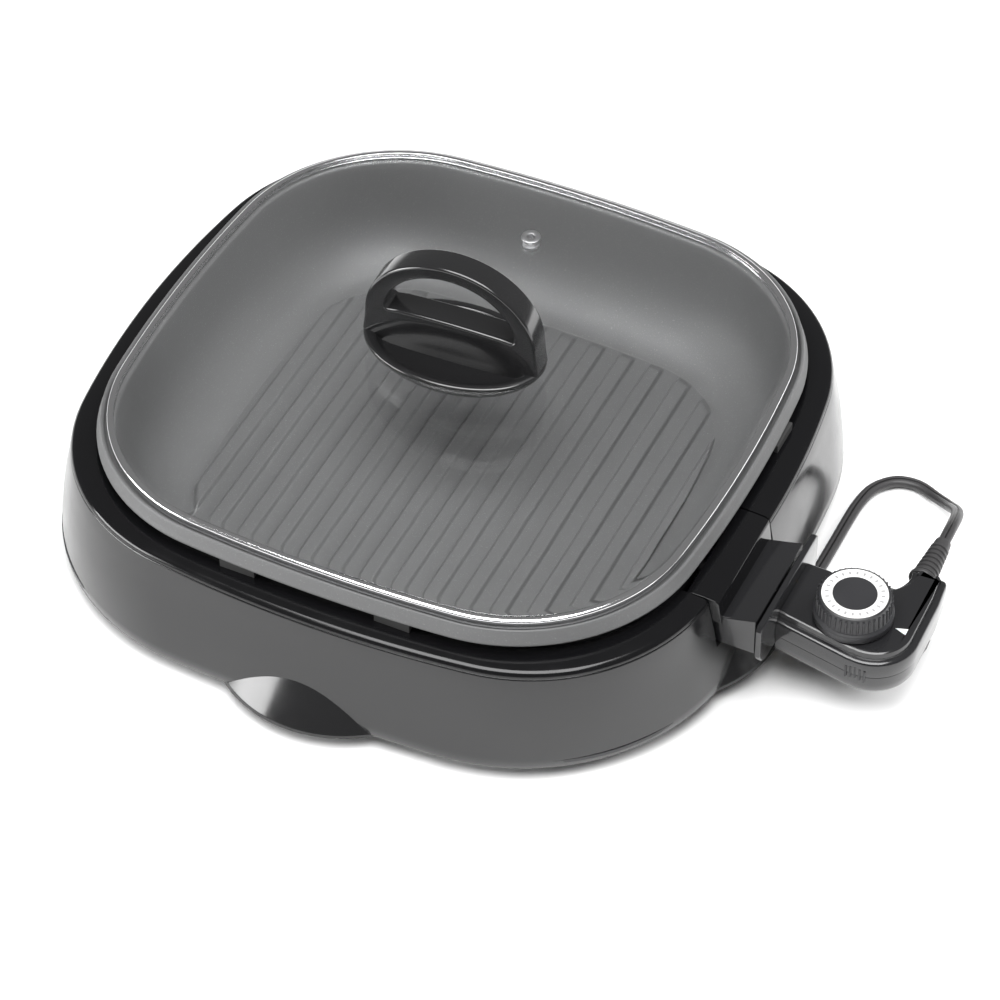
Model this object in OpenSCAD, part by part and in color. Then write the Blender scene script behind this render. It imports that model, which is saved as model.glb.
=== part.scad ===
// Square electric skillet with a ribbed griddle pan, a glass lid and a plug-in heat control.
// Millimetres, +Z up, origin on the floor under the middle of the pan.
// +X points to the heat control, -Y is the front with its finger lip.

/* [Pan] */
// Half length of the straight side of the pan along X
pan_cx = 66; // [60:1:70]
// Half length of the straight side of the pan along Y
pan_cy = 62; // [56:1:64]
// Height of the cooking surface above the floor
floor_z = 18; // [17:0.5:19]
// Height of the ledge that the lid rests on
ledge_z = 74; // [73:0.5:75]
// Distance between griddle ribs
rib_pitch = 16.5; // [15:0.5:18]
// Height of the griddle ribs
rib_h = 2.2; // [1.5:0.1:3]

/* [Base] */
// Half length of the straight side of the base along X
base_cx = 70; // [69:1:72]
// Half length of the straight side of the base along Y
base_cy = 63; // [62:1:65]
// Height of the lower edge of the base wall
wall_z = 8; // [7.5:0.5:8.5]
// Height of the crease round the top of the base
crease_z = 62; // [61:0.5:63]

/* [Lid] */
// Height of the flat middle of the glass
glass_z = 87; // [86:0.5:88]
// Turn of the handle and the vent about the middle of the lid
handle_turn = 3; // [0:1:5]
// Half length of the lid handle
handle_half = 46; // [44:1:48]
// Height of the top of the handle loop
handle_top = 151.5; // [148:0.5:153]

/* [Heat control] */
// Where the heat control sits along the side of the pan
plug_y = -40; // [-42:1:-38]
// Height of the pins and the sensor rod
plug_z = 42; // [41:0.5:43]
// Height of the top of the heat control's case
case_z = 48; // [47:0.5:49]
// Radius of the dial's skirt
dial_r = 19; // [18:0.5:19.5]

/* [Cord] */
// Width of the power cord
cord_d = 6.2; // [5.8:0.1:6.4]

/* [Hidden] */
$fn = 96;
black = [0.05, 0.05, 0.055];
steel = [0.78, 0.78, 0.8];
brass = [0.75, 0.6, 0.3];
handle_cz = 113.5;
dial_x = 223;
dial_y = -37;
rod_y = plug_y + 6;
pin_gap = 10;
plate_x = 188;
foot_x = 120;
foot_y = 112;

// A closed ring: a profile of radius and height swept round a rectangle with round corners.
module swept(cx, cy) {
  for (k = [0:3])
    translate([(k == 0 || k == 3) ? cx : -cx, k < 2 ? cy : -cy, 0])
      rotate([0, 0, 90 * k]) rotate_extrude(angle = 90) children();
  for (s = [0, 180]) {
    rotate([0, 0, s]) translate([cx, 0, 0])
      rotate([90, 0, 0]) linear_extrude(2 * cy, center = true) children();
    rotate([0, 0, s + 90]) translate([cy, 0, 0])
      rotate([90, 0, 0]) linear_extrude(2 * cx, center = true) children();
  }
}

// The flat outline that fills such a ring up to radius r.
module outline(cx, cy, r) {
  square([2 * (cx + r), 2 * cy], center = true);
  square([2 * cx, 2 * (cy + r)], center = true);
  for (x = [-cx, cx], y = [-cy, cy]) translate([x, y]) circle(r);
}

module slab(cx, cy, r, z0, z1) {
  translate([0, 0, z0]) linear_extrude(z1 - z0) outline(cx, cy, r);
}

module along_x(x, y, z) {
  translate([x, y, z]) rotate([0, 90, 0]) children();
}

module tube_x(x0, x1, y, z, r, bore) {
  along_x(x0, y, z) difference() {
    cylinder(h = x1 - x0, r = r);
    translate([0, 0, -1]) cylinder(h = x1 - x0 + 2, r = bore);
  }
}

// ---- base ----

// The lips that the fingers lift the base by: leaning cones that are hollow from below.
// Each has a turn, a reach from the middle and a shift along its side. The third is under the socket.
lips = [[0, 182, 0], [180, 182, 0], [90, 186, rod_y]];
lip_r = 64;
lip_slope = 0.79;
lip_h = 24;
module lip_cone(shift, reach, r) {
  translate([shift, lip_r - reach, wall_z]) cylinder(h = lip_h, r1 = r, r2 = r - lip_slope * lip_h);
}

module finger_lips() {
  color(black) difference() {
    for (p = lips) rotate([0, 0, p[0]]) difference() {
      lip_cone(p[2], p[1], lip_r);
      lip_cone(p[2], p[1], lip_r - 3);
      translate([-200, 30 - p[1], 0]) cube([400, 400, 100]);
    }
    slab(base_cx, base_cy, 104, wall_z - 1, 60);
  }
}

module socket_notch(z) {
  translate([150, plug_y - 30.5, z]) cube([60, 61, 60]);
}

module cover_screw_places() {
  for (a = [45, 135, 225, 315]) rotate([0, 0, a]) translate([190, 0, 0]) children();
}

module base_shell() {
  color(black) difference() {
    swept(base_cx, base_cy) polygon([[98.4, 59.6], [99.3, 58.4], [100.4, 52], [102.4, 38],
      [104.4, 22], [106.2, 8], [94, 8], [94, 10.5], [103.2, 10.5], [101.6, 22], [99.6, 38],
      [97.6, 52], [96, 59.6]]);
    socket_notch(34);
    cover_screw_places() translate([0, 0, 7]) cylinder(h = 4, r = 1.6);
  }
}

module base_bezel() {
  color(black) difference() {
    swept(base_cx, base_cy) polygon([[82, 63.6], [83, 64.2], [96.8, 63.4], [98.4, 62.7], [99, 61.6],
      [99, 59.8], [96.4, 59.8], [96.4, 60.8], [84.6, 61.6], [84.6, 54], [82, 54]]);
    socket_notch(34);
  }
}

module bottom_cover() {
  color(black) difference() {
    union() {
      swept(base_cx, base_cy) polygon([[80, 4], [92, 4], [93.8, 6], [93.8, 10.7], [101.5, 10.7],
        [101.5, 12.5], [91.8, 12.5], [91.8, 6.5], [91.2, 6], [80, 6]]);
      slab(base_cx, base_cy, 81, 4, 6);
    }
    for (x = [-foot_x, foot_x], y = [-foot_y, foot_y]) translate([x, y, 3]) cylinder(h = 4, r = 2.1);
    cover_screw_places() translate([0, 0, 9]) cylinder(h = 5, r = 2);
    for (i = [1:4], s = [-1, 1]) translate([s * i * 16, 0, 3]) cube([6, 60, 8], center = true);
  }
}

module heat_reflector() {
  color(steel) difference() {
    union() {
      swept(base_cx, base_cy) polygon([[60, 6.4], [78, 6.4], [80, 8.4], [80, 30], [79.2, 30],
        [79.2, 8.8], [77.6, 7.2], [60, 7.2]]);
      slab(base_cx, base_cy, 61, 6.4, 7.2);
    }
    translate([140, plug_y - 30, 5]) cube([30, 60, 60]);
    for (x = [-foot_x, foot_x], y = [-foot_y, foot_y]) translate([x, y, 3]) cylinder(h = 8, r = 5);
  }
}

// Four feet held by screws, and a glued one in the middle that keeps the thin cover from sagging.
module rubber_feet() {
  color([0.1, 0.1, 0.1]) {
    cylinder(h = 4, r1 = 8, r2 = 9);
    for (x = [-foot_x, foot_x], y = [-foot_y, foot_y]) translate([x, y, 0]) difference() {
      cylinder(h = 4, r1 = 8, r2 = 9);
      translate([0, 0, -1]) cylinder(h = 3, r = 4);
      cylinder(h = 9, r = 2.1);
    }
  }
}

module foot_screws() {
  color(steel) for (x = [-foot_x, foot_x], y = [-foot_y, foot_y]) translate([x, y, 0]) {
    translate([0, 0, 2]) cylinder(h = 4.2, r = 2);
    translate([0, 0, 0.6]) cylinder(h = 1.4, r = 3.6);
  }
}

module cover_screws() {
  color(steel) cover_screw_places() {
    translate([0, 0, 8]) cylinder(h = 4.5, r = 1.55);
    translate([0, 0, 12.5]) cylinder(h = 1.6, r = 3.4);
  }
}

pad_h = 5;
module pan_rest_pads() {
  color([0.55, 0.2, 0.12]) for (s = [-1, 1]) {
    for (x = [-40, 40]) translate([x - 9, s * 147.2 - 1.6, 63.6]) cube([18, 3.2, pad_h]);
    translate([s * 153.9 - 1.6, 31, 63.6]) cube([3.2, 18, pad_h]);
  }
}

// ---- pan ----

rib_shift = 4.1;
module pan_ribs() {
  for (k = [-6:7]) {
    x = rib_shift + rib_pitch * (k - 0.5);
    over = max(0, abs(x) - pan_cx);
    half = pan_cy + sqrt(48 * 48 - over * over) - 6;
    translate([x, 0, floor_z - 0.5]) rotate([90, 0, 0]) linear_extrude(2 * half, center = true)
      polygon([[-4.4, 0], [-3.2, rib_h + 0.5], [3.2, rib_h + 0.5], [4.4, 0]]);
  }
}

module pan() {
  color([0.33, 0.34, 0.35]) union() {
    swept(pan_cx, pan_cy) polygon([[86.4, 77.4], [85.6, 77.4], [85.2, ledge_z], [80, ledge_z],
      [79.2, 73.2], [78, 64], [75.4, 48], [71.4, 36], [64.6, 26.4], [56, 20.4], [47, floor_z],
      [38, floor_z], [38, 15], [47.6, 15], [57.4, 17.4], [66.8, 24], [73.8, 34], [78.2, 47],
      [80.8, 63], [82, 69.6], [86, 69.6], [88.6, 69], [89.7, 69.8], [89.5, 71]]);
    slab(pan_cx, pan_cy, 39, 15, floor_z);
    intersection() {
      pan_ribs();
      slab(pan_cx, pan_cy, 46, 15, 30);
    }
  }
}

elem_z = 11.4;
module heating_element() {
  color([0.35, 0.33, 0.31]) union() {
    difference() {
      swept(pan_cx, pan_cy) translate([24, elem_z]) circle(3.3);
      translate([80, rod_y - pin_gap, elem_z - 6]) cube([20, 2 * pin_gap, 12]);
    }
    for (s = [-1, 1]) translate([0, rod_y + s * pin_gap, 0]) {
      along_x(pan_cx + 24, 0, elem_z) cylinder(h = 152 - pan_cx - 24, r = 3.3);
      translate([152, 0, elem_z]) sphere(3.3);
      translate([152, 0, elem_z]) cylinder(h = plug_z - elem_z, r = 3.3);
      translate([152, 0, plug_z]) sphere(3.3);
      along_x(152, 0, plug_z) cylinder(h = 6, r = 3.3);
    }
  }
}

module terminal_pins() {
  color(steel) for (s = [-1, 1]) {
    along_x(158, rod_y + s * pin_gap, plug_z) cylinder(h = 44, r = 2.2);
    translate([202, rod_y + s * pin_gap, plug_z]) sphere(2.2);
  }
}

module pin_insulators() {
  color([0.9, 0.88, 0.82]) for (s = [-1, 1])
    tube_x(159.5, 166, rod_y + s * pin_gap, plug_z, 4.4, 2.2);
}

// A bar across the side of the pan: its profile lies in X and Z.
module bar(width, profile) {
  translate([0, plug_y + width / 2, 0]) rotate([90, 0, 0]) linear_extrude(width) polygon(profile);
}

// The hood round the contact pins, and the piece of ledge over it that fills the gap in the base.
module socket_housing() {
  color(black) difference() {
    union() {
      bar(56, [[156, 35], [187, 35], [187, 57], [171, 52.5], [156, 52.5]]);
      bar(60, [[156, 50], [170.6, 50], [169.4, 58.4], [169, 61.6], [168.4, 62.7], [166.8, 63.4],
        [152.8, 63.4], [152.8, 57], [156, 57]]);
      for (s = [-1, 1]) along_x(144.2, plug_y + s * 22, 46) cylinder(h = 13, r = 4);
    }
    translate([166, plug_y - 25.5, 37]) cube([40, 51, 13]);
    for (s = [-1, 1]) along_x(150, rod_y + s * pin_gap, plug_z) cylinder(h = 30, r = 4.5);
    along_x(150, rod_y, plug_z) cylinder(h = 30, r = 4.7);
    for (s = [-1, 1]) along_x(140, plug_y + s * 22, 46) cylinder(h = 30, r = 1.6);
  }
}

module socket_screws() {
  color(steel) for (s = [-1, 1]) translate([0, plug_y + s * 22, 46]) {
    along_x(145, 0, 0) cylinder(h = 21, r = 1.55);
    along_x(166, 0, 0) cylinder(h = 1.8, r = 2.9);
  }
}

module sensor_well() {
  color(steel) tube_x(143.2, 168, rod_y, plug_z, 4.6, 3.2);
}

// ---- lid ----

module lid_glass() {
  color([0.75, 0.8, 0.8, 0.35]) difference() {
    union() {
      swept(pan_cx, pan_cy) polygon([[83.4, 75], [83.4, 79], [78, 80.3], [66, 82.6], [50, 84.9],
        [34, 86.4], [18, glass_z], [13, glass_z], [13, glass_z - 4], [18, glass_z - 4],
        [34, 82.4], [50, 80.9], [66, 78.6], [78, 76.3]]);
      slab(pan_cx, pan_cy, 14, glass_z - 4, glass_z);
    }
    rotate([0, 0, handle_turn]) translate([0, 96, 70]) cylinder(h = 30, r = 3);
    translate([0, 0, 70]) cylinder(h = 30, r = 3.1);
  }
}

module lid_rim() {
  color(steel) swept(pan_cx, pan_cy) polygon([[84.2, 74.3], [84.2, 79.4], [83.8, 79.9], [80.4, 80.6],
    [80.2, 79.8], [83.4, 79.1], [83.4, 74.9], [80.2, 75.7], [80.2, 75]]);
}

module vent_ring() {
  color(steel) rotate([0, 0, handle_turn]) translate([0, 96, 0]) difference() {
    union() {
      translate([0, 0, 86.6]) cylinder(h = 2, r1 = 5, r2 = 4.2);
      translate([0, 0, 81]) cylinder(h = 6, r = 2.9);
      translate([0, 0, 80.4]) cylinder(h = 1.4, r = 4.2);
    }
    translate([0, 0, 79]) cylinder(h = 12, r = 1.8);
  }
}

// A cone whose plan is an oval as wide as the handle's foot.
oval_y = 0.64;
module oval(z0, z1, r0, r1) {
  translate([0, 0, z0]) scale([1, oval_y, 1]) cylinder(h = z1 - z0, r1 = r0, r2 = r1);
}

module handle_base() {
  color(black) rotate([0, 0, handle_turn]) difference() {
    union() {
      oval(glass_z + 1, 90, 32, 37);
      oval(90, 94, 37, 43);
      oval(94, 98.5, 43, handle_half);
    }
    oval(91.4, 94.4, 26, 36);
    oval(94.4, 99, 36, 43.5);
    translate([0, 0, 80]) cylinder(h = 20, r = 2.2);
  }
}

module handle_loop(half, rise, cz, w) {
  translate([0, 0, cz]) scale([1, 1, rise / half]) rotate([90, 0, 0])
    cylinder(h = w, r = half, center = true);
}

module handle_grip() {
  color(black) rotate([0, 0, handle_turn]) difference() {
    union() {
      intersection() {
        handle_loop(43, handle_top - handle_cz, handle_cz, 14);
        translate([-60, -20, handle_cz - 2]) cube([120, 40, 80]);
      }
      rotate([90, 0, 0]) linear_extrude(14, center = true)
        polygon([[-40, 96], [-45.6, 99], [-43, handle_cz], [43, handle_cz], [45.6, 99], [40, 96]]);
      translate([0, 0, 91.4]) cylinder(h = 12, r = 6.5);
    }
    intersection() {
      handle_loop(33, 28.5, 115, 30);
      translate([-60, -30, 117]) cube([120, 60, 60]);
    }
    translate([0, -30, 112]) scale([34, 27, 20]) sphere(1);
    translate([0, 0, 80]) cylinder(h = 18, r = 2);
  }
}

module handle_gasket() {
  color([0.15, 0.15, 0.15]) {
    translate([0, 0, glass_z]) difference() {
      cylinder(h = 1, r = 9);
      translate([0, 0, -1]) cylinder(h = 3, r = 3);
    }
    translate([0, 0, glass_z - 5]) difference() {
      cylinder(h = 1, r = 9);
      translate([0, 0, -1]) cylinder(h = 3, r = 2.6);
    }
  }
}

module handle_screw() {
  color(steel) {
    translate([0, 0, 79.4]) cylinder(h = 2.6, r1 = 4, r2 = 5);
    translate([0, 0, 82]) cylinder(h = 15.5, r = 2);
  }
}

// ---- heat control ----

// Outline of the case: a body beside the dial and a horn that the cord leaves by.
module case_outline(grow) {
  difference() {
    union() {
      translate([191.2, -53 - grow]) square([30, 42 + 2 * grow]);
      translate([dial_x + 11, dial_y - 1]) circle(22 + grow);
      translate([dial_x - 8, -59 - grow]) square([20, 40]);
      translate([dial_x + 10, -40]) square([23 + grow, 46 + grow]);
      polygon([[191.2, -52.8 - grow], [dial_x + 6, -60 - grow], [dial_x + 6, -40], [191.2, -40]]);
    }
    translate([dial_x - 9, dial_y + 21 - grow]) square([20, 40]);
    translate([dial_x - 2, 2]) circle(16 - grow);
  }
}

split_z = 35;
case_floor = 24;
cord_x = 241;
case_bosses = [[212, -49.5], [209, -17], [250, -26], [249, -7]];
module case_shell(z0, z1, hollow_z) {
  difference() {
    translate([0, 0, z0]) linear_extrude(z1 - z0) case_outline(0);
    translate([0, 0, hollow_z]) linear_extrude(z1 - z0 - 1) case_outline(-2);
  }
}

// The mark that the dial is read against: a triangle that points to the dial.
module mark_outline(grow) {
  polygon([[243.8 - 3 * grow, -36.3], [249.4 + grow, -38.2 - 2 * grow], [249.4 + grow, -34.4 + 2 * grow]]);
}

module boss_places() {
  for (p = case_bosses) translate([p[0], p[1], 0]) children();
}

module case_top() {
  color(black) difference() {
    union() {
      case_shell(split_z, case_z, split_z - 1);
      boss_places() translate([0, 0, split_z]) cylinder(h = case_z - split_z - 1, r = 3.4);
    }
    boss_places() translate([0, 0, split_z - 1]) cylinder(h = 9, r = 1.6);
    translate([dial_x, dial_y, case_z - 5]) cylinder(h = 9, r = 5);
    translate([0, 0, case_z - 5]) linear_extrude(9) mark_outline(0.1);
    translate([cord_x, 0, 38]) rotate([-90, 0, 0]) cylinder(h = 12, r = 5);
  }
}

module case_bottom() {
  color(black) difference() {
    union() {
      case_shell(case_floor, split_z, case_floor + 2);
      boss_places() translate([0, 0, case_floor]) cylinder(h = split_z - case_floor, r = 3.4);
    }
    boss_places() translate([0, 0, case_floor - 1]) cylinder(h = 20, r = 1.7);
    translate([cord_x, 0, 38]) rotate([-90, 0, 0]) cylinder(h = 12, r = 5);
  }
}

module guard_plate() {
  color(black) difference() {
    translate([plate_x, plug_y, 0]) rotate([90, 0, 90]) linear_extrude(3) union() {
      translate([-32, 36]) square([70, 21]);
      translate([-20, 29]) square([46, 20]);
      translate([-20, 41]) circle(12);
      translate([26, 41]) circle(12);
    }
    along_x(180, rod_y, plug_z) cylinder(h = 20, r = 3.1);
    for (s = [-1, 1]) along_x(180, rod_y + s * pin_gap, plug_z) cylinder(h = 20, r = 3.6);
  }
}

module sensor_rod() {
  color(steel) {
    along_x(151, rod_y, plug_z) cylinder(h = 50, r = 3);
    translate([151, rod_y, plug_z]) sphere(3);
  }
}

module contact_sleeves() {
  color(brass) for (s = [-1, 1]) tube_x(188.4, 206, rod_y + s * pin_gap, plug_z, 3.4, 2.4);
}

module contact_block() {
  color([0.8, 0.76, 0.66]) difference() {
    translate([195, rod_y - 15, 27]) cube([7, 30, 18.8]);
    along_x(190, rod_y, plug_z) cylinder(h = 20, r = 3);
    for (s = [-1, 1]) along_x(190, rod_y + s * pin_gap, plug_z) cylinder(h = 20, r = 3.4);
  }
}

module switch_blades() {
  color(brass) for (z = [30, 32.6, 35.2])
    translate([202, rod_y - 4, z]) cube([26, 8, 0.8]);
  color([0.85, 0.83, 0.78]) translate([202, rod_y - 4, 28]) cube([5, 8, 2]);
}

module case_screws() {
  color(steel) boss_places() {
    translate([0, 0, case_floor - 1.6]) cylinder(h = 1.6, r = 3);
    translate([0, 0, case_floor]) cylinder(h = 15, r = 1.55);
  }
}

module dial_bushing() {
  color(brass) translate([dial_x, dial_y, 0]) difference() {
    union() {
      translate([0, 0, case_z - 5]) cylinder(h = 6, r = 4.9);
      translate([0, 0, case_z - 5]) cylinder(h = 3, r = 6.5);
    }
    translate([0, 0, case_z - 6]) cylinder(h = 8, r = 3.05);
  }
}

module indicator_lens() {
  color([0.9, 0.9, 0.85]) translate([0, 0, case_z - 4]) linear_extrude(4.4) mark_outline(0);
}

module strain_relief() {
  color(black) translate([cord_x, 0, 38]) rotate([-90, 0, 0]) difference() {
    union() {
      translate([0, 0, 3]) cylinder(h = 4, r = 4.9);
      translate([0, 0, 6.3]) cylinder(h = 2, r = 7);
      translate([0, 0, 8.3]) cylinder(h = 25.7, r1 = 6, r2 = 4.2);
      for (i = [0:5]) translate([0, 0, 12 + 3.4 * i]) cylinder(h = 1.7, r = 6.2 - 0.3 * i);
    }
    translate([0, 0, 30]) cylinder(h = 9, r = cord_d / 2);
  }
}

// ---- cord ----

// The route of the free cord, from inside the strain relief to the hank.
route = [[241, 31, 38], [240.5, 46, 37], [238.5, 60, 31], [234, 73, 21], [227, 84, 11],
  [217, 93, 4.5], [206, 98, 3.2], [195, 96, 3.2], [187, 87, 3.2], [184, 74, 3.2],
  [183.5, 58, 3.2], [183.5, 42, 3.2], [183.5, 26, 3.2], [183.8, 8, 3.2]];
cord_sides = 10;

function unit(v) = v / norm(v);
function spline(p, i, t) =
  let (a = p[max(i - 1, 0)], b = p[i], c = p[i + 1], d = p[min(i + 2, len(p) - 1)])
  0.5 * ((2 * b) + (c - a) * t + (2 * a - 5 * b + 4 * c - d) * t * t
    + (3 * b - a - 3 * c + d) * t * t * t);
function cord_path(p, n) = concat([for (i = [0:len(p) - 2], k = [0:n - 1]) spline(p, i, k / n)],
  [p[len(p) - 1]]);
module cord_tube(p, r) {
  m = len(p);
  ring = [for (i = [0:m - 1])
    let (t = unit(p[min(i + 1, m - 1)] - p[max(i - 1, 0)]),
      u = unit(cross([0.05, -0.1, 1], t)),
      w = cross(t, u))
    [for (k = [0:cord_sides - 1])
      p[i] + r * (cos(360 * k / cord_sides) * u + sin(360 * k / cord_sides) * w)]];
  points = [for (q = ring, v = q) v];
  sides = [for (i = [0:m - 2], k = [0:cord_sides - 1])
    let (a = i * cord_sides + k, b = i * cord_sides + (k + 1) % cord_sides)
    [a, b, b + cord_sides, a + cord_sides]];
  caps = [[for (k = [cord_sides - 1:-1:0]) k],
    [for (k = [0:cord_sides - 1]) (m - 1) * cord_sides + k]];
  polyhedron(points, concat(sides, caps));
}

module power_cord() {
  color(black) cord_tube(cord_path(route, 3), cord_d / 2);
}

// The spare length, in two oval turns on top of each other under the heat control.
hank_x = 215.5;
hank_y = -3.3;
hank_run = 26;
hank_bend = 3 * cord_d;
tie_t = 0.6;
hank_r = hank_bend + cord_d / 2;
hank_top = tie_t + 2 * cord_d;
module cord_hank() {
  color(black) translate([hank_x, hank_y, tie_t]) linear_extrude(2 * cord_d) {
    square([hank_run, 2 * hank_r], center = true);
    for (s = [-1, 1]) translate([s * hank_run / 2, 0]) circle(hank_r);
  }
}

module hank_tie() {
  color([0.2, 0.2, 0.2]) translate([hank_x, hank_y, 0]) difference() {
    translate([-4, -hank_r - tie_t, 0]) cube([8, 2 * (hank_r + tie_t), hank_top + tie_t]);
    translate([-5, -hank_r, tie_t]) cube([10, 2 * hank_r, 2 * cord_d]);
  }
}

plug_end = [210, -10];
module plug_body() {
  color(black) translate([plug_end[0], plug_end[1] - 12, hank_top + tie_t]) union() {
    translate([-13, 0, 0]) cube([22, 24, 8]);
    translate([-13, 7, 0]) cube([24, 10, 8]);
  }
}

module plug_blades() {
  color(brass) for (s = [-1, 1])
    translate([plug_end[0] - 29, plug_end[1] + s * 6.3 - 0.75, hank_top + tie_t + 1]) cube([16, 1.5, 6.3]);
}

// ---- dial ----

module dial_knob() {
  color(black) translate([dial_x, dial_y, 0]) difference() {
    union() {
      translate([0, 0, case_z + 0.4]) cylinder(h = 5, r1 = dial_r, r2 = dial_r - 0.6);
      translate([0, 0, case_z + 5.4]) cylinder(h = 9.6, r1 = dial_r - 1.2, r2 = dial_r - 2);
      for (i = [0:35]) rotate([0, 0, 10 * i]) translate([dial_r - 1.8, 0, case_z + 1])
        cylinder(h = 11.5, r = 0.7, $fn = 16);
    }
    translate([0, 0, case_z + 14.2]) cylinder(h = 3, r = dial_r - 3.4);
    translate([0, 0, case_z - 0.6]) cylinder(h = 9, r = 2.9);
    translate([0, 0, case_z]) cylinder(h = 3, r = 7);
  }
}

module dial_ring() {
  color([0.92, 0.92, 0.9]) translate([dial_x, dial_y, case_z + 14.2]) difference() {
    cylinder(h = 0.7, r = dial_r - 3.4);
    translate([0, 0, -1]) cylinder(h = 3, r = 10.4);
  }
}

module dial_cap() {
  color(black) translate([dial_x, dial_y, case_z + 14.2]) cylinder(h = 0.9, r = 10.4);
}

module dial_shaft() {
  color(steel) translate([dial_x, dial_y, 0]) {
    translate([0, 0, 38.6]) cylinder(h = case_z + 8.4 - 38.6, r = 2.9);
    translate([0, 0, 36.8]) cylinder(h = 2, r = 5);
  }
}

base_shell();
finger_lips();
base_bezel();
bottom_cover();
heat_reflector();
rubber_feet();
foot_screws();
cover_screws();
pan_rest_pads();
pan();
heating_element();
terminal_pins();
pin_insulators();
socket_housing();
socket_screws();
sensor_well();
lid_glass();
lid_rim();
vent_ring();
handle_base();
handle_grip();
handle_gasket();
handle_screw();
case_top();
case_bottom();
guard_plate();
sensor_rod();
contact_sleeves();
contact_block();
switch_blades();
case_screws();
dial_bushing();
indicator_lens();
strain_relief();
power_cord();
cord_hank();
hank_tie();
plug_body();
plug_blades();
dial_knob();
dial_ring();
dial_cap();
dial_shaft();
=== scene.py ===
"""The looks of a square electric skillet: ribbed pan, black base, glass lid and plug-in heat control."""

import math

import bmesh
import bpy
from mathutils import Matrix, Vector


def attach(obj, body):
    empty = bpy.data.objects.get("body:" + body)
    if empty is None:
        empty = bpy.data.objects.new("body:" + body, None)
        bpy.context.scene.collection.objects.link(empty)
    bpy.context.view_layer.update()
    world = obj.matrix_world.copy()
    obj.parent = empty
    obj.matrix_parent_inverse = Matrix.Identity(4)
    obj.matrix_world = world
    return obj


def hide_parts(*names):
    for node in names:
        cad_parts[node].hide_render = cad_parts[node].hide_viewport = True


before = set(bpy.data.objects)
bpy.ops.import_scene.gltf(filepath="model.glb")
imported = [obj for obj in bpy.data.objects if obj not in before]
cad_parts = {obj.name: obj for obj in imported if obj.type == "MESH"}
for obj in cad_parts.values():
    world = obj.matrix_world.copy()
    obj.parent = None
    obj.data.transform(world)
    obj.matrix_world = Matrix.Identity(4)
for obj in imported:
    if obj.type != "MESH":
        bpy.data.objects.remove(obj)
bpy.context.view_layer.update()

MM = 0.001  # the scene is in metres, and the sizes below are in millimetres

# ---------------------------------------------------------------- camera and cord


CAMERA_AROUND, CAMERA_ABOVE, CAMERA_LENS = 25.57, 45.51, 146.13
CAMERA_RIGHT, CAMERA_UP, CAMERA_BACK = 21.47, -60.62, 1950.69
CAMERA_AIM = Vector((0, 0, 79))


def make_camera():
    """Looks down at the front of the skillet from the right."""
    around, above = math.radians(CAMERA_AROUND), math.radians(CAMERA_ABOVE)
    level = math.cos(above)
    back = Vector((math.sin(around) * level, -math.cos(around) * level, math.sin(above)))
    right = Vector((math.cos(around), math.sin(around), 0))
    up = back.cross(right)
    data = bpy.data.cameras.new("camera")
    data.lens = CAMERA_LENS
    data.sensor_width = 36
    data.clip_start = 0.05
    camera = bpy.data.objects.new("camera", data)
    bpy.context.collection.objects.link(camera)
    turn = Matrix((right, up, back)).transposed().to_4x4()
    place = (CAMERA_RIGHT * right + CAMERA_UP * up + CAMERA_BACK * back + CAMERA_AIM) * MM
    camera.matrix_world = Matrix.Translation(place) @ turn
    bpy.context.scene.camera = camera


make_camera()


def keep(name, mesh):
    """A new object for that mesh, at the origin."""
    piece = bpy.data.objects.new(name, mesh)
    bpy.context.collection.objects.link(piece)
    return piece


def mesh_from(name, points, faces, smooth=True):
    """A mesh from points in millimetres."""
    mesh = bpy.data.meshes.new(name)
    mesh.from_pydata([Vector(p) * MM for p in points], [], faces)
    mesh.validate()
    if smooth:
        mesh.polygons.foreach_set("use_smooth", [True] * len(mesh.polygons))
    mesh.update()
    return mesh


def spline(points, steps):
    """A smooth line through given points."""
    line = []
    last = len(points) - 1
    for i in range(last):
        a, b, c, d = (Vector(points[min(max(k, 0), last)]) for k in (i - 1, i, i + 1, i + 2))
        for k in range(steps):
            t = k / steps
            line.append(0.5 * (2 * b + (c - a) * t + (2 * a - 5 * b + 4 * c - d) * t * t
                               + (3 * b - a - 3 * c + d) * t ** 3))
    line.append(Vector(points[last]))
    return line


CORD_WIDTH, CORD_THICK = 6.2, 4.6
HANK_X, HANK_Y, HANK_RUN = 215.5, -3.3, 26.0
HANK_BEND = 3 * CORD_WIDTH
HANK_TURNS, HANK_STEPS, HANK_START = 1.3, 40, 0.02
TIE_THICK = 0.6
PLUG_Z = 17.6
END_SWEEP, END_STEPS = 253, 20  # the last bend, in degrees, and its steps
END_STEP = Vector((-1.46, -4.78, 0))  # the straight bit that goes into the plug
NEARLY_UP = Vector((0, 0.001, 1))  # no part of the cord points just this way
CORD_ROUTE = [(241, 31, 38), (240.5, 46, 37), (238.5, 60, 31), (234, 73, 21), (227, 84, 11),
              (217, 93, 4.5), (206, 98, 3.2), (195, 96, 3.2), (187, 87, 3.2), (184, 74, 3.2),
              (183.5, 58, 3.2), (183.5, 42, 3.2), (183.4, 26, 3.2), (183.2, 12, 3.4)]


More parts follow.
